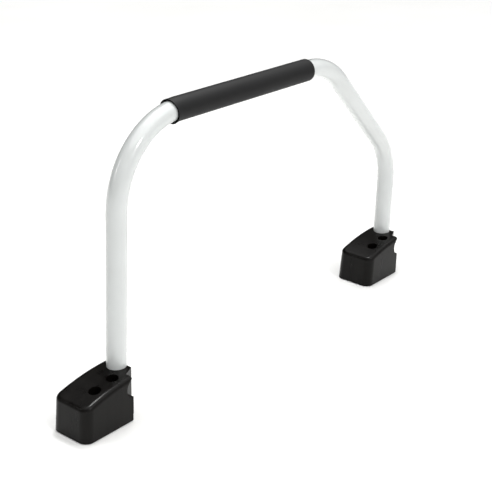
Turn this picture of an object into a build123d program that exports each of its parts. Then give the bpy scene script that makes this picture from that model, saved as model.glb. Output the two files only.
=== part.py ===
from build123d import *

from math import atan2, degrees, radians, tan
import os

os.makedirs("parts", exist_ok=True)

# Rail layout: X runs along the rail, Y across it, Z up from the floor face of the feet.
near_x = -260.5          # near leg axis at floor level
far_x = 327.5            # far leg axis at floor level
leg_y = 5.75             # plane of the bent tube
leg_splay = 8.0          # how far the near leg leans out over the bar height
bar_z = 358.0            # centre line of the top bar
bar_end_x = 151.5        # where the bar line meets the sloping run
slope_end_z = 187.5      # where the sloping run meets the far leg
bend_r = 104.0
tube_d = 25.4
tube_wall = 1.6
tube_end_z = 9.0         # cut end of each leg, inside its foot

# Grip sleeve on the bar
grip_d = 30.0
grip_far_x = 103.5
grip_wrap = 14.0         # length of sleeve that runs on into the near bend
grip_gap = 0.05

# Foot housing, measured from its own leg axis
foot_outer = -84.5
foot_cut = -6.6          # flat end face on the saddle side
foot_front = -29.75
foot_back = 29.75
foot_corner = 12.0
front_draft = 0.4
back_draft = 2.5
outer_draft = 2.0
foot_top = 66.0
rim_z = 1.0
edge_r = 6.0               # rounding of the top edges
wall = 4.0
collar_r = 17.5
boss_z = 46.0
socket_gap = 0.05
recess_r = 13.1
lip_x = 9.1              # lip of the housing beside the leg
lip_y = -11.5
crown_points = ((-92.0, 42.4), (-32.0, 57.6), (28.0, 59.3))   # arc of the top, in X and Z
chambers = (             # cored pockets: X, Y, length, width, roof height
    (-71.0, -2.0, 16.0, 24.0, 36.0),
    (-50.8, 11.0, 18.5, 19.0, 45.0),
    (-29.7, 11.0, 17.5, 19.0, 49.0),
)

# Bolt holes that fix the foot to the bed frame
bolt_x = (-51.8, -23.0)
bolt_y = -11.55
head_hole_r = 7.75
head_seat_z = 16.0
sleeve_r = 6.0
bolt_r = 4.3

# Saddle notch in the end face
notch_x = -1.9
notch_z = 44.6
notch_r = 13.0
liner_t = 1.0
notch_back = -18.25
notch_deep = 20.0        # length of the cut, out past the front face
liner_len = 9.2
pad_proud = 2.8
pad_low = 8.0
pad_high = 34.0
tongue_z = 16.0
tongue = 4.0

# Underside: pad, plate and the screws that hold it
plate_low = 4.0
plate_high = 7.0
fit_gap = 0.2
screw_x = (-71.0, -16.5)
screw_y = (-20.8, 16.8)
screw_r = 2.0
insert_r = 2.8
insert_len = 8.0

# Cross pin through leg and socket
pin_z = 22.0
pin_r = 3.0
pin_start = 14.5         # from the leg axis to the front end of the pin
pin_len = 30.6

feet = {"near": near_x, "far": far_x}
lean = {"near": leg_splay / bar_z, "far": 0.0}


def save(part, label):
    part.label = label
    export_step(part, f"parts/{label}.step")
    print(label, round(part.volume), "mm3")


def leg_plane(side, height):
    """Plane square to a leg, at a height above the floor."""
    slope = lean[side]
    origin = (feet[side] + slope * height, leg_y, height)
    return Plane(origin=origin, x_dir=(1, 0, -slope), z_dir=(slope, 0, 1))


def screw_spots(foot_x):
    return [(foot_x + x, y) for x in screw_x for y in screw_y]


# Bent tube: one near bend, then two shallow bends down to the far leg
start_x = near_x + lean["near"] * tube_end_z
corner_x = near_x + leg_splay
hoop_corners = (
    (start_x, tube_end_z),
    (corner_x, bar_z),
    (bar_end_x, bar_z),
    (far_x, slope_end_z),
    (far_x, tube_end_z),
)
with BuildPart() as hoop_tube:
    with BuildLine(Plane.XZ.offset(-leg_y)) as hoop_path:
        FilletPolyline(*hoop_corners, radius=bend_r)
    with BuildSketch(Plane(origin=hoop_path.line @ 0, z_dir=hoop_path.line % 0)):
        Circle(tube_d / 2)
        Circle(tube_d / 2 - tube_wall, mode=Mode.SUBTRACT)
    sweep()
    for side, foot_x in feet.items():
        hole_x = foot_x + lean[side] * pin_z
        with BuildSketch(Plane.XZ.offset(-leg_y)):
            with Locations((hole_x, pin_z)):
                Circle(pin_r + socket_gap)
        extrude(amount=tube_d, both=True, mode=Mode.SUBTRACT)
save(hoop_tube.part, "hoop_tube")

# Grip sleeve: straight along the bar and a little way round the near bend
turn = 90 - degrees(atan2(leg_splay, bar_z))
bend_start_x = corner_x + bend_r * tan(radians(turn / 2))
with BuildPart() as grip_sleeve:
    with BuildLine(Plane.XZ.offset(-leg_y)) as grip_path:
        Line((grip_far_x, bar_z), (bend_start_x, bar_z))
        CenterArc(
            center=(bend_start_x, bar_z - bend_r),
            radius=bend_r,
            start_angle=90,
            arc_size=degrees(grip_wrap / bend_r),
        )
    with BuildSketch(Plane(origin=(grip_far_x, leg_y, bar_z), z_dir=(-1, 0, 0))):
        Circle(grip_d / 2)
        Circle(tube_d / 2 + grip_gap, mode=Mode.SUBTRACT)
    sweep()
    rims = grip_sleeve.edges().filter_by(GeomType.CIRCLE)
    outer_rims = [e for e in rims if abs(e.radius - grip_d / 2) < 0.01]
    fillet([e for e in outer_rims if abs(e.center().X - bend_start_x) > 5], 1.0)
save(grip_sleeve.part, "grip_sleeve")


for side, foot_x in feet.items():
    # Housing: drafted block with a crowned top, socket boss, cored underside and saddle notch
    with BuildPart() as foot_body:
        for level in (rim_z, foot_top):
            rise = level - rim_z
            front = foot_front + rise * tan(radians(front_draft))
            back = foot_back - rise * tan(radians(back_draft))
            outer = foot_x + foot_outer + rise * tan(radians(outer_draft))
            end = foot_x + collar_r
            with BuildSketch(Plane.XY.offset(level)) as outline:
                with Locations(((outer + end) / 2, (front + back) / 2)):
                    Rectangle(end - outer, back - front)
                fillet(outline.vertices().group_by(Axis.X)[0], foot_corner)
        loft()
        with BuildSketch(Plane.XZ):
            with BuildLine():
                top = ThreePointArc(*[(foot_x + x, z) for x, z in crown_points])
                above = top @ 1 + (0, 20)
                Polyline(top @ 1, above, ((top @ 0).X, above.Y), top @ 0)
            make_face()
        extrude(amount=40, both=True, mode=Mode.SUBTRACT)
        top_face = foot_body.faces().filter_by(GeomType.CYLINDER).sort_by(Axis.Z)[-1]
        fillet(top_face.edges().sort_by(Axis.X)[:-1], edge_r)
        # flat end face on the bolt side, slanting out to a lip beside the leg
        with BuildSketch(Plane.XY):
            with BuildLine():
                Polyline(
                    (foot_x + foot_cut, foot_front - 10),
                    (foot_x + foot_cut, notch_back),
                    (foot_x + lip_x, lip_y),
                    (foot_x + lip_x, foot_back + 10),
                    (foot_x + 40, foot_back + 10),
                    (foot_x + 40, foot_front - 10),
                    close=True,
                )
            make_face()
        extrude(amount=80, mode=Mode.SUBTRACT)
        # socket boss round the outer side of the leg, lower than the top
        with BuildSketch(Plane.XY.offset(rim_z)):
            with Locations((foot_x, leg_y)):
                Circle(collar_r)
            with Locations((foot_x - 20, leg_y)):
                Rectangle(40, 40, mode=Mode.SUBTRACT)
        extrude(amount=boss_z - rim_z)
        # socket bore for the leg
        with BuildSketch(leg_plane(side, 0)):
            Circle(tube_d / 2 + socket_gap)
        extrude(amount=80, mode=Mode.SUBTRACT)
        # bolt holes: wide and deep for the heads, then a seat for the steel sleeve
        with BuildSketch(Plane.XY.offset(head_seat_z)):
            with Locations(*[(foot_x + x, bolt_y) for x in bolt_x]):
                Circle(head_hole_r)
        extrude(amount=60, mode=Mode.SUBTRACT)
        with BuildSketch(Plane.XY):
            with Locations(*[(foot_x + x, bolt_y) for x in bolt_x]):
                Circle(sleeve_r + socket_gap)
        extrude(amount=30, mode=Mode.SUBTRACT)
        # underside recess for plate and pad
        with BuildSketch(Plane.XY):
            with Locations((foot_x + (foot_outer + foot_cut) / 2, (foot_front + foot_back) / 2)):
                Rectangle(foot_cut - foot_outer - 2 * wall, foot_back - foot_front - 2 * wall)
            with Locations((foot_x, leg_y)):
                Circle(recess_r)
        extrude(amount=plate_high, mode=Mode.SUBTRACT)
        # cored chambers
        for cx, cy, length, width, roof in chambers:
            with BuildSketch(Plane.XY):
                with Locations((foot_x + cx, cy)):
                    RectangleRounded(length, width, 2.0)
            extrude(amount=roof, mode=Mode.SUBTRACT)
        # threaded insert holes
        with BuildSketch(Plane.XY):
            with Locations(*screw_spots(foot_x)):
                Circle(insert_r)
        extrude(amount=plate_high + insert_len + 2, mode=Mode.SUBTRACT)
        # saddle notch and the slot for the insert's tongue
        with BuildSketch(Plane.XZ.offset(-notch_back)):
            with Locations((foot_x + notch_x, notch_z)):
                Circle(notch_r + liner_t + socket_gap)
        extrude(amount=notch_deep, mode=Mode.SUBTRACT)
        with BuildSketch(Plane.XZ.offset(-notch_back)):
            with Locations((foot_x + foot_cut, tongue_z)):
                Rectangle(2 * tongue + 2 * socket_gap, tongue + 2 * socket_gap)
        extrude(amount=liner_len - 1.8, mode=Mode.SUBTRACT)
        # cross pin hole, open at the back
        with BuildSketch(Plane.XZ.offset(pin_start + 0.1 - leg_y)):
            with Locations((foot_x + lean[side] * pin_z, pin_z)):
                Circle(pin_r + socket_gap)
        extrude(amount=-(pin_start + foot_back), mode=Mode.SUBTRACT)
    save(foot_body.part, f"{side}_foot_body")

    # Saddle insert: proud pad below the notch, liner inside it, tongue into the housing
    with BuildPart() as saddle_insert:
        with BuildSketch(Plane.XZ.offset(fit_gap - notch_back)):
            with Locations((foot_x + notch_x, notch_z)):
                Circle(notch_r + liner_t)
            with Locations((foot_x + foot_cut + 20, notch_z)):
                Rectangle(40, 60, mode=Mode.SUBTRACT)
            with Locations((foot_x + foot_cut + pad_proud / 2, (pad_low + pad_high) / 2)):
                Rectangle(pad_proud, pad_high - pad_low)
            with Locations((foot_x + notch_x, notch_z)):
                Circle(notch_r, mode=Mode.SUBTRACT)
        extrude(amount=liner_len)
        with BuildSketch(Plane.XZ.offset(fit_gap - notch_back)):
            with Locations((foot_x + foot_cut - tongue / 2, tongue_z)):
                Rectangle(tongue, tongue)
        extrude(amount=liner_len - 2.2)
    save(saddle_insert.part, f"{side}_saddle_insert")

    # Steel plate that closes the underside
    with BuildPart() as base_plate:
        with BuildSketch(Plane.XY.offset(plate_low)):
            with Locations((foot_x + (foot_outer + foot_cut) / 2, (foot_front + foot_back) / 2)):
                length = foot_cut - foot_outer - 2 * wall - 2 * fit_gap
                width = foot_back - foot_front - 2 * wall - 2 * fit_gap
                RectangleRounded(length, width, 1.5)
            with Locations((foot_x, leg_y)):
                Circle(recess_r - fit_gap)
            with Locations(*[(foot_x + x, bolt_y) for x in bolt_x]):
                Circle(bolt_r, mode=Mode.SUBTRACT)
            with Locations(*screw_spots(foot_x)):
                Circle(screw_r + 0.2, mode=Mode.SUBTRACT)
        extrude(amount=plate_high - plate_low)
        with BuildSketch(Plane.XY.offset(plate_low)):
            with Locations(*screw_spots(foot_x)):
                Circle(screw_r + 2.2)
        extrude(amount=2.0, taper=45, mode=Mode.SUBTRACT)
    save(base_plate.part, f"{side}_base_plate")

    # Rubber pad with grooves across its tread
    with BuildPart() as foot_pad:
        with BuildSketch(Plane.XY):
            with Locations((foot_x + (foot_outer + foot_cut) / 2, (foot_front + foot_back) / 2)):
                RectangleRounded(length, width, 1.5)
            with Locations((foot_x, leg_y)):
                Circle(recess_r - fit_gap)
            with Locations(*[(foot_x + x, bolt_y) for x in bolt_x]):
                Circle(bolt_r + 1.2, mode=Mode.SUBTRACT)
        extrude(amount=plate_low)
        with BuildSketch(Plane.XY):
            with Locations((foot_x - 46.0, 0)):
                with GridLocations(9.6, 1, 7, 1):
                    Rectangle(2.4, 60)
        extrude(amount=1.2, mode=Mode.SUBTRACT)
    save(foot_pad.part, f"{side}_foot_pad")

    # End plug in the cut end of the leg
    with BuildPart() as tube_plug:
        with BuildSketch(leg_plane(side, tube_end_z)):
            Circle(tube_d / 2 - 0.2)
        extrude(amount=-1.5)
        with BuildSketch(leg_plane(side, tube_end_z)):
            Circle(tube_d / 2 - tube_wall - socket_gap)
        extrude(amount=8.0)
        with BuildSketch(leg_plane(side, tube_end_z + 1.5)):
            Circle(8.8)
        extrude(amount=8.0, mode=Mode.SUBTRACT)
    save(tube_plug.part, f"{side}_tube_plug")

    # Slotted spring pin across leg and socket
    with BuildPart() as leg_pin:
        with BuildSketch(Plane.XZ.offset(pin_start - leg_y)):
            with Locations((foot_x + lean[side] * pin_z, pin_z)):
                Circle(pin_r)
                Circle(pin_r - 1.2, mode=Mode.SUBTRACT)
            with Locations((foot_x + lean[side] * pin_z + pin_r, pin_z)):
                Rectangle(3.6, 0.9, mode=Mode.SUBTRACT)
        extrude(amount=-pin_len)
    save(leg_pin.part, f"{side}_leg_pin")

    # Steel compression sleeves and the washers on top of them
    for name, x in zip(("outer", "inner"), bolt_x):
        with BuildPart() as bolt_sleeve:
            with BuildSketch(Plane.XY.offset(plate_high)):
                with Locations((foot_x + x, bolt_y)):
                    Circle(sleeve_r)
                    Circle(bolt_r, mode=Mode.SUBTRACT)
            extrude(amount=head_seat_z - plate_high)
        save(bolt_sleeve.part, f"{side}_{name}_sleeve")
        with BuildPart() as bolt_washer:
            with BuildSketch(Plane.XY.offset(head_seat_z)):
                with Locations((foot_x + x, bolt_y)):
                    Circle(head_hole_r - 0.15)
                    Circle(bolt_r, mode=Mode.SUBTRACT)
            extrude(amount=1.6)
        save(bolt_washer.part, f"{side}_{name}_washer")

    # Brass threaded inserts for the plate screws
    with BuildPart() as plate_inserts:
        with BuildSketch(Plane.XY.offset(plate_high + 0.1)):
            with Locations(*screw_spots(foot_x)):
                Circle(insert_r - socket_gap)
                Circle(screw_r, mode=Mode.SUBTRACT)
        extrude(amount=insert_len)
    save(plate_inserts.part, f"{side}_plate_inserts")

    # Countersunk plate screws
    with BuildPart() as plate_screws:
        with BuildSketch(Plane.XY.offset(plate_low + 0.05)):
            with Locations(*screw_spots(foot_x)):
                Circle(screw_r + 2.1)
        extrude(amount=2.1, taper=45)
        with BuildSketch(Plane.XY.offset(plate_low + 2.0)):
            with Locations(*screw_spots(foot_x)):
                Circle(screw_r - 0.05)
        extrude(amount=8.0)
        with BuildSketch(Plane.XY.offset(plate_low)):
            with Locations(*screw_spots(foot_x)):
                RegularPolygon(1.25, 6, major_radius=False)
        extrude(amount=1.5, mode=Mode.SUBTRACT)
    save(plate_screws.part, f"{side}_plate_screws")
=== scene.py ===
import math

import bmesh
import bpy
from mathutils import Matrix, Vector


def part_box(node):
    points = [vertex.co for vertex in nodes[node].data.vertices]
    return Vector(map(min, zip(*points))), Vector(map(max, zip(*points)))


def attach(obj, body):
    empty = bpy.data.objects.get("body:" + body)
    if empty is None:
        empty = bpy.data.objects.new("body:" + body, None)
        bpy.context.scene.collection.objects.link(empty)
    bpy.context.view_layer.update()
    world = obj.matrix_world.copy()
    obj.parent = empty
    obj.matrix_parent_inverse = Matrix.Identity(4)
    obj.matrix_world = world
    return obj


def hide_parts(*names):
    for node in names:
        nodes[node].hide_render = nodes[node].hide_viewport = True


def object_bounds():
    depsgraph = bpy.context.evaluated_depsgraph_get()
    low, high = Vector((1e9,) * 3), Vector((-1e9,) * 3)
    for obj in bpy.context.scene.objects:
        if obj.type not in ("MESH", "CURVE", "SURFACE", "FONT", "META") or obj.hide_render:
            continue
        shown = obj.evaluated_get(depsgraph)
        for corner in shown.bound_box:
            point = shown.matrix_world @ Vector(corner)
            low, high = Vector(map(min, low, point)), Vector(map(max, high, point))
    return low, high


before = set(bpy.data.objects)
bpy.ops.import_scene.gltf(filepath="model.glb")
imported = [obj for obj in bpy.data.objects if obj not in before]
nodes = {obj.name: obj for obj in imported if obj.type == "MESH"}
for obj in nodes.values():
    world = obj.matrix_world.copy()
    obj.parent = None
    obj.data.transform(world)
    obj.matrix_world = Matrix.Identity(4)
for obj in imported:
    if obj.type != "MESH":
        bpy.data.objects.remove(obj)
frameLow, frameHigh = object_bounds()
print("frame loaded:", len(nodes), "nodes")

mm = 0.001


def linear(hexText):  # sRGB hex to the linear colour that the shader wants
    out = []
    for i in (1, 3, 5):
        c = int(hexText[i:i + 2], 16) / 255
        out.append(c / 12.92 if c <= 0.04045 else ((c + 0.055) / 1.055) ** 2.4)
    return (*out, 1.0)


def addNode(mat, kind, settings=None, links=None):
    # settings go to attributes or input sockets, links are {input: (node, output)}
    node = mat.node_tree.nodes.new(kind)
    for key, value in (settings or {}).items():
        if isinstance(key, str) and hasattr(node, key) and key not in node.inputs:
            setattr(node, key, value)
        else:
            node.inputs[key].default_value = value
    for key, (source, output) in (links or {}).items():
        mat.node_tree.links.new(source.outputs[output], node.inputs[key])
    return node


def newMaterial(name):
    mat = bpy.data.materials.new(name)
    mat.use_nodes = True
    mat.node_tree.nodes.clear()
    return mat, addNode(mat, "ShaderNodeTexCoord")


def noise(mat, vector, size, detail, roughness=0.5):
    # size in mm
    settings = {"Scale": 1 / (size * mm), "Detail": detail, "Roughness": roughness}
    return addNode(mat, "ShaderNodeTexNoise", settings, {"Vector": vector})


def ramp(mat, source, stops):
    # a colour ramp over a noise, from a list of two (position, colour)
    node = addNode(mat, "ShaderNodeValToRGB", links={"Fac": (source, "Fac")})
    for element, (position, colour) in zip(node.color_ramp.elements, stops):
        element.position = position
        element.color = linear(colour)
    return node


def roughnessOver(mat, source, limits):
    # spreads the middle of a noise over the two given roughness values
    settings = {"From Min": 0.3, "From Max": 0.7, "To Min": limits[0], "To Max": limits[1]}
    return addNode(mat, "ShaderNodeMapRange", settings, {"Value": (source, "Fac")})


def bumpFrom(mat, height, strength, depth):
    # depth in mm
    settings = {"Strength": strength, "Distance": depth * mm}
    return addNode(mat, "ShaderNodeBump", settings, {"Height": height})


def finish(mat, settings, links):
    bsdf = addNode(mat, "ShaderNodeBsdfPrincipled", settings, links)
    addNode(mat, "ShaderNodeOutputMaterial", links={"Surface": (bsdf, "BSDF")})
    return mat


def surface(tint, gloss, bump):
    return {"Base Color": tint, "Roughness": (gloss, "Result"), "Normal": (bump, "Normal")}


# Powder-coated steel: sprayed polyester powder, baked. Gives a white gloss with a faint orange peel.
powderCoat = {
    "white": "#D1D4D3",
    "dust": "#CBCECD",
    "roughness": (0.20, 0.28),
    "cloudSize": 111.0,   # mm, slow change of tone
    "peelSize": 2.2,      # mm between the crests of the orange peel
    "fineSize": 0.385,
    "fineShare": 0.15,
    "peelHeight": 0.012,
    "coat": {"Coat Weight": 1.0, "Coat Roughness": 0.10, "Coat IOR": 1.5},
}


def makePowderCoat(name, look):
    mat, place = newMaterial(name)
    spot = (place, "Object")
    cloud = noise(mat, spot, look["cloudSize"], 4.0, 0.55)
    peel = noise(mat, spot, look["peelSize"], 1.5, 0.4)
    fine = noise(mat, spot, look["fineSize"], 2.0)
    tint = ramp(mat, cloud, [(0.35, look["dust"]), (0.62, look["white"])])
    gloss = roughnessOver(mat, cloud, look["roughness"])
    mix = addNode(
        mat,
        "ShaderNodeMath",
        {"operation": "MULTIPLY_ADD", 1: look["fineShare"]},
        {0: (fine, "Fac"), 2: (peel, "Fac")},
    )
    bump = bumpFrom(mat, (mix, "Value"), 0.35, look["peelHeight"])
    return finish(mat, {"IOR": 1.5, **look["coat"]}, surface((tint, "Color"), gloss, bump))


# Glass-filled nylon, injection moulded in a spark-eroded tool: satin black with a fine even grain.
footNylon = {
    "black": "#070605",
    "worn": "#100E0C",
    "roughness": (0.26, 0.33),
    "cloudSize": 11.1,    # mm, drawn out upwards as flow marks
    "flowStretch": 0.12,
    "grainSize": 0.9,     # drawn coarser than the 0.15 mm of the tool so that it shows
    "pitSize": 0.5625,
    "pitShare": 0.5,
    "grainHeight": 0.02,
    "wornEdge": {"From Min": 0.5, "From Max": 0.62, "To Min": 0.0, "To Max": 0.35},
    "shine": 0.12,
}


def makeNylon(name, look):
    mat, place = newMaterial(name)
    spot = (place, "Object")
    flow = addNode(mat, "ShaderNodeMapping", {"Scale": (1.0, 1.0, look["flowStretch"])}, {"Vector": spot})
    cloud = noise(mat, (flow, "Vector"), look["cloudSize"], 5.0, 0.6)
    cells = {"Scale": 1 / (look["grainSize"] * mm), "Randomness": 1.0}
    grain = addNode(mat, "ShaderNodeTexVoronoi", cells, {"Vector": spot})
    pits = noise(mat, spot, look["pitSize"], 3.0)
    edge = addNode(mat, "ShaderNodeNewGeometry")
    worn = addNode(mat, "ShaderNodeMapRange", look["wornEdge"], {"Value": (edge, "Pointiness")})
    tint = ramp(mat, cloud, [(0.3, look["black"]), (0.75, look["worn"])])
    rub = addNode(
        mat,
        "ShaderNodeMix",
        {"data_type": "RGBA", "blend_type": "MIX", 7: linear(look["worn"])},
        {0: (worn, "Result"), 6: (tint, "Color")},
    )
    gloss = roughnessOver(mat, cloud, look["roughness"])
    mix = addNode(
        mat,
        "ShaderNodeMath",
        {"operation": "MULTIPLY_ADD", 1: look["pitShare"]},
        {0: (pits, "Fac"), 2: (grain, "Distance")},
    )
    bump = bumpFrom(mat, (mix, "Value"), 0.3, look["grainHeight"])
    return finish(mat, {"IOR": 1.53, "Specular IOR Level": look["shine"]}, surface((rub, 2), gloss, bump))


# Vinyl-dipped foam: a soft satin dark grey skin. The other skins differ from it as listed, sizes in mm.
gripSkin = {
    "dark": "#0C0C0D",
    "light": "#111112",
    "roughness": (0.55, 0.66),
    "cloudSize": 45.5,
    "skinSize": 1.2,
    "skinHeight": 0.02,
    "shine": 0.24,
}
# Moulded nitrile rubber, brownish and matt
insertSkin = {
    **gripSkin,
    "dark": "#0D0908",
    "light": "#15100E",
    "roughness": (0.7, 0.85),
    "skinSize": 1.0,
    "skinHeight": 0.03,
}
# Polyurethane foam, knife cut, at the sleeve ends: near black, darker than the skin, its own black plus
# painted shade for the dark ring where the sleeve meets the tube
foamSkinPaintedShade = {
    **gripSkin,
    "dark": "#020202",
    "light": "#050505",
    "roughness": (0.9, 1.0),
    "skinSize": 0.5,
    "skinHeight": 0.25,
    "shine": 0.05,
}
# Moulded natural rubber, matt
padSkin = {
    **gripSkin,
    "dark": "#161616",
    "light": "#202020",
    "roughness": (0.75, 0.9),
    "skinSize": 0.9,
    "skinHeight": 0.05,
}


def makeRubber(name, look):
    mat, place = newMaterial(name)
    spot = (place, "Object")
    cloud = noise(mat, spot, look["cloudSize"], 4.0, 0.6)
    skin = noise(mat, spot, look["skinSize"], 4.0, 0.6)
    tint = ramp(mat, cloud, [(0.3, look["dark"]), (0.7, look["light"])])
    gloss = roughnessOver(mat, cloud, look["roughness"])
    bump = bumpFrom(mat, (skin, "Fac"), 0.3, look["skinHeight"])
    settings = {"IOR": 1.5, "Specular IOR Level": look["shine"]}
    return finish(mat, settings, surface((tint, "Color"), gloss, bump))


# Zinc plating on cold-formed steel: pale grey metal with a soft brushed streak and dull patches
zincPlate = {
    "bright": "#C9CBCC",
    "dull": "#9DA0A2",
    "roughness": (0.28, 0.45),
    "streakSize": 0.5,      # mm
    "streakStretch": 0.12,
    "patchSize": 8.33,
    "streakHeight": 0.01,
}
# Brass bar turned on a lathe, with a finer streak
brassBar = {
    **zincPlate,
    "bright": "#D8B56A",
    "dull": "#A98442",
    "roughness": (0.22, 0.38),
    "streakSize": 0.3,
}


def makeMetal(name, look):
    mat, place = newMaterial(name)
    spot = (place, "Object")
    stretch = {"Scale": (look["streakStretch"], 1.0, 1.0)}
    drawn = addNode(mat, "ShaderNodeMapping", stretch, {"Vector": spot})
    streak = noise(mat, (drawn, "Vector"), look["streakSize"], 3.0)
    patches = noise(mat, spot, look["patchSize"], 5.0, 0.65)
    tint = ramp(mat, patches, [(0.3, look["dull"]), (0.7, look["bright"])])
    gloss = roughnessOver(mat, streak, look["roughness"])
    bump = bumpFrom(mat, (streak, "Fac"), 0.2, look["streakHeight"])
    return finish(mat, {"Metallic": 1.0}, surface((tint, "Color"), gloss, bump))


# Each finish goes to the nodes whose names end in its key, and the plated steel to all others
finishes = {
    "hoop_tube": makePowderCoat("powderCoatedSteelWhiteGloss", powderCoat),
    "grip_sleeve": makeRubber("vinylFoamSleeveSatin", gripSkin),
    "foot_body": makeNylon("glassNylonMouldedSatinBlack", footNylon),
    "saddle_insert": makeRubber("nitrileRubberMouldedBrown", insertSkin),
    "foot_pad": makeRubber("naturalRubberMouldedMatt", padSkin),
    "tube_plug": makeNylon("polyethyleneMouldedBlack", {**footNylon, "roughness": (0.5, 0.65)}),
    "plate_inserts": makeMetal("brassTurned", brassBar),
    "steel": makeMetal("zincPlatedSteelRolled", zincPlate),
}


def finishFor(name):
    for key, mat in finishes.items():
        if name.endswith(key):
            return mat
    return finishes["steel"]


for name, obj in nodes.items():
    mat = finishFor(name)
    if not obj.material_slots:
        obj.data.materials.append(mat)
    for s in obj.material_slots:
        s.material = mat
print("finishes on", len(nodes), "nodes")

# Grip: a foam sleeve with a vinyl skin, pushed on over the bar and a little way round the bend
gripShape = {
    "tubeRadius": 12.75,    # mm, the hole in the sleeve
    "bend": 104.0,          # radius of the bend that its end follows
    "wrap": 14.0,           # how far it runs round the bend
    "creep": 1.0,           # how far the soft end has crept on past that
    "lip": (1.3, 0.3),      # rounding of the outer edge at the far and the near end
    "bell": (0.70, 9.0),    # how much the near end opens out, and over what length
    "swell": 0.08,          # slow change of thickness along the sleeve
    "swellLength": (41.0, 67.0),
    "dish": 1.2,            # how far the cut ends sink towards the tube
    "step": 1.5,            # spacing of the rings
    "lipRings": (0.0, 0.25, 0.5, 0.75),
    "dishRings": (0.03, 0.25, 0.6, 0.9, 1.0),
    "sides": 96,
}


def gripStations():
    # centre, direction and distance along the sleeve, from the far end to the near end
    low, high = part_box("grip_sleeve")
    radius = (high.y - low.y) / 2
    bend = gripShape["bend"] * mm
    turn = gripShape["wrap"] / gripShape["bend"]
    axisZ = high.z - radius
    bendX = low.x + (bend + radius) * math.sin(turn)
    straight = high.x - bendX
    total = straight + (gripShape["wrap"] + gripShape["creep"]) * mm
    middle = (low.y + high.y) / 2
    count = int(total / (gripShape["step"] * mm))
    out = []
    for i in range(count + 1):
        run = total * i / count
        if run <= straight:
            out.append((Vector((high.x - run, middle, axisZ)), Vector((-1, 0, 0)), run))
        else:
            a = (run - straight) / bend
            centre = Vector((bendX - bend * math.sin(a), middle, axisZ - bend * (1 - math.cos(a))))
            out.append((centre, Vector((-math.cos(a), 0, -math.sin(a))), run))
    return out, radius, total


def gripRadius(run, total, radius, angle):
    # full radius in the middle, a rounded lip at each end, a slow hand-made swell and the bell
    edge = min(run, total - run)
    lip = gripShape["lip"][0 if run < total / 2 else 1] * mm
    fall = lip - math.sqrt(max(0.0, lip * lip - max(0.0, lip - edge) ** 2))
    first, second = (v * mm for v in gripShape["swellLength"])
    wave = math.sin(run / first + 0.6 * math.sin(angle)) * math.cos(2 * angle + run / second)
    rise, length = (v * mm for v in gripShape["bell"])
    bell = rise * max(0.0, 1 - (total - run) / length) ** 2
    return radius + bell - fall - gripShape["swell"] * mm * (0.5 + 0.5 * wave)


def addRing(bm, centre, along, radiusAt):
    side = Vector((0, 1, 0))
    upward = side.cross(along)
    ring = []
    for k in range(gripShape["sides"]):
        angle = 2 * math.pi * k / gripShape["sides"]
        outward = side * math.cos(angle) + upward * math.sin(angle)
        ring.append(bm.verts.new(centre + outward * radiusAt(angle)))
    return ring


def outerRings(bm, stations, radius, total):
    rings = []
    for centre, along, run in stations:
        shifts = [0.0]
        if run == 0.0:
            shifts = [f * gripShape["lip"][0] * mm for f in gripShape["lipRings"]]
        elif run >= total * (1 - 1e-9):
            shifts = [-f * gripShape["lip"][1] * mm for f in reversed(gripShape["lipRings"])]
        for shift in shifts:
            def radiusAt(angle):
                return gripRadius(run + shift, total, radius, angle)

            rings.append(addRing(bm, centre + along * shift, along, radiusAt))
    return rings


def cutRings(bm, station, radius, total):
    # cut foam at one end, dished in towards the tube and down to the hole
    centre, along, run = station
    inner = gripShape["tubeRadius"] * mm
    inward = along if run == 0.0 else -along
    rings = []
    for share in gripShape["dishRings"]:
        def radiusAt(angle):
            return inner + (gripRadius(run, total, radius, angle) - inner) * (1 - share)

        depth = gripShape["dish"] * mm * share ** 2
        rings.append(addRing(bm, centre + inward * depth, along, radiusAt))
    return rings


def makeGrip():
    stations, radius, total = gripStations()
    bm = bmesh.new()
    rings = outerRings(bm, stations, radius, total)
    nearCut = cutRings(bm, stations[-1], radius, total)
    farCut = cutRings(bm, stations[0], radius, total)
    loop = rings + nearCut + list(reversed(farCut))
    for i, ring in enumerate(loop):
        after = loop[(i + 1) % len(loop)]
        for k in range(gripShape["sides"]):
            j = (k + 1) % gripShape["sides"]
            face = bm.faces.new((ring[k], ring[j], after[j], after[k]))
            face.material_index = 0 if i < len(rings) - 1 else 1    # skin outside, cut foam elsewhere
    bmesh.ops.recalc_face_normals(bm, faces=bm.faces)
    mesh = bpy.data.meshes.new("gripSleeve")
    bm.to_mesh(mesh)
    bm.free()
    mesh.shade_smooth()
    mesh.materials.append(finishes["grip_sleeve"])
    # the second slot, the cut foam at both ends, carries painted shade for the dark ring
    mesh.materials.append(makeRubber("polyurethaneFoamCutPaintedShade", foamSkinPaintedShade))
    grip = bpy.data.objects.new("gripSleeve", mesh)
    bpy.context.scene.collection.objects.link(grip)
    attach(grip, "root")
    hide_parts("grip_sleeve")


makeGrip()
print("grip sleeve made")

# Floor: one wide sheet of pale vinyl, matt, a little cloudy
floorLook = {
    "paint": "#FDFDFC",
    "cloud": "#F9F9F7",
    "cloudSize": 333.0,    # mm
    "roughness": 0.9,
    "shine": 0.1,
    "reach": 9.0,          # m
    "gap": 0.2,            # mm below the pads
}


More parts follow.
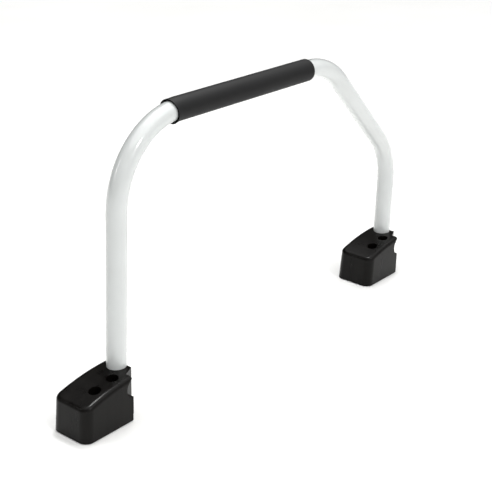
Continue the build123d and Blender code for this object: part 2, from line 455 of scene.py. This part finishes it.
def makeFloor():
    mat, place = newMaterial("vinylSheetFloorMatt")
    cloud = noise(mat, (place, "Object"), floorLook["cloudSize"], 3.0)
    tint = ramp(mat, cloud, [(0.3, floorLook["cloud"]), (0.7, floorLook["paint"])])
    settings = {"Roughness": floorLook["roughness"], "Specular IOR Level": floorLook["shine"]}
    finish(mat, settings, {"Base Color": (tint, "Color")})
    mesh = bpy.data.meshes.new("floor")
    r = floorLook["reach"]
    mesh.from_pydata([(-r, -r, 0), (r, -r, 0), (r, r, 0), (-r, r, 0)], [], [(0, 1, 2, 3)])
    mesh.materials.append(mat)
    floor = bpy.data.objects.new("floor", mesh)
    bpy.context.scene.collection.objects.link(floor)
    floor.location.z = frameLow.z - floorLook["gap"] * mm


makeFloor()
print("floor laid")

# Soft studio light: a room that is dim on one side, an even light from above and soft boxes
roomLight = {"dim": -0.08, "bright": 0.68, "towards": (0.03, -1.00, 0.10), "span": (-0.8, 0.9)}
ceiling = {"strength": 2.1, "angle": 1.5, "tilt": (0.10, 0.12)}
softBoxes = {
    "key": {"at": (0.20, 0.25, 2.05), "size": (0.30, 0.30), "power": 12.0, "glossOnly": False},
    "gloss": {"at": (0.20, 0.25, 2.05), "size": (0.40, 0.40), "power": 46.0, "glossOnly": True},
    "front": {"at": (-0.45, -2.00, 1.55), "size": (0.24, 0.24), "power": 10.0, "glossOnly": False},
    "strip": {"at": (-1.56, 0.98, 1.10), "size": (0.03, 0.60), "power": 3.0, "glossOnly": False},
}


def makeRoom():
    world = bpy.data.worlds.new("studio")
    bpy.context.scene.world = world
    world.use_nodes = True
    back = world.node_tree.nodes["Background"]
    place = addNode(world, "ShaderNodeTexCoord")
    side = addNode(
        world,
        "ShaderNodeVectorMath",
        {"operation": "DOT_PRODUCT", 1: Vector(roomLight["towards"]).normalized()},
        {0: (place, "Generated")},
    )
    start, end = roomLight["span"]
    level = addNode(
        world,
        "ShaderNodeMapRange",
        {"From Min": start, "From Max": end, "To Min": roomLight["dim"], "To Max": roomLight["bright"]},
        {"Value": (side, "Value")},
    )
    world.node_tree.links.new(level.outputs["Result"], back.inputs["Strength"])
    back.inputs["Color"].default_value = (1, 1, 1, 1)


def makeSoftBox(name, box):
    data = bpy.data.lights.new(name, "AREA")
    data.shape = "RECTANGLE"
    data.size, data.size_y = box["size"]
    data.energy = box["power"]
    lamp = bpy.data.objects.new(name, data)
    lamp.location = box["at"]
    lamp.rotation_mode = "QUATERNION"
    middle = (frameLow + frameHigh) / 2
    lamp.rotation_quaternion = (middle - Vector(box["at"])).to_track_quat("-Z", "Y")
    lamp.visible_camera = False
    lamp.visible_diffuse = not box["glossOnly"]    # a bright reflection without more light
    bpy.context.scene.collection.objects.link(lamp)


def makeCeiling():
    data = bpy.data.lights.new("ceiling", "SUN")
    data.energy = ceiling["strength"]
    data.angle = ceiling["angle"]
    lamp = bpy.data.objects.new("ceiling", data)
    lamp.rotation_euler = (*ceiling["tilt"], 0.0)
    bpy.context.scene.collection.objects.link(lamp)


makeRoom()
makeCeiling()
for name, box in softBoxes.items():
    makeSoftBox(name, box)
bpy.context.scene.view_settings.view_transform = "Standard"
print("room and", len(softBoxes), "soft boxes set")

# Camera: where it stands in metres, its turns in radians and its lens in mm
eye = {"at": (-1.1248, -0.87355, 0.7402), "yaw": 0.901, "pitch": 0.401, "roll": 0.030, "lens": 84.45}


def makeCamera():
    level = math.cos(eye["pitch"])
    ahead = Vector((math.sin(eye["yaw"]) * level, math.cos(eye["yaw"]) * level, -math.sin(eye["pitch"])))
    right = Vector((math.cos(eye["yaw"]), -math.sin(eye["yaw"]), 0.0))
    up = right.cross(ahead)
    c = math.cos(eye["roll"])
    s = math.sin(eye["roll"])
    right, up = c * right + s * up, -s * right + c * up
    camera = bpy.data.objects.new("camera", bpy.data.cameras.new("camera"))
    camera.data.lens = eye["lens"]
    camera.data.sensor_width = 36.0
    turn = Matrix((right, up, -ahead)).transposed().to_4x4()
    camera.matrix_world = Matrix.Translation(eye["at"]) @ turn
    bpy.context.scene.collection.objects.link(camera)
    bpy.context.scene.camera = camera


makeCamera()
print("camera set")
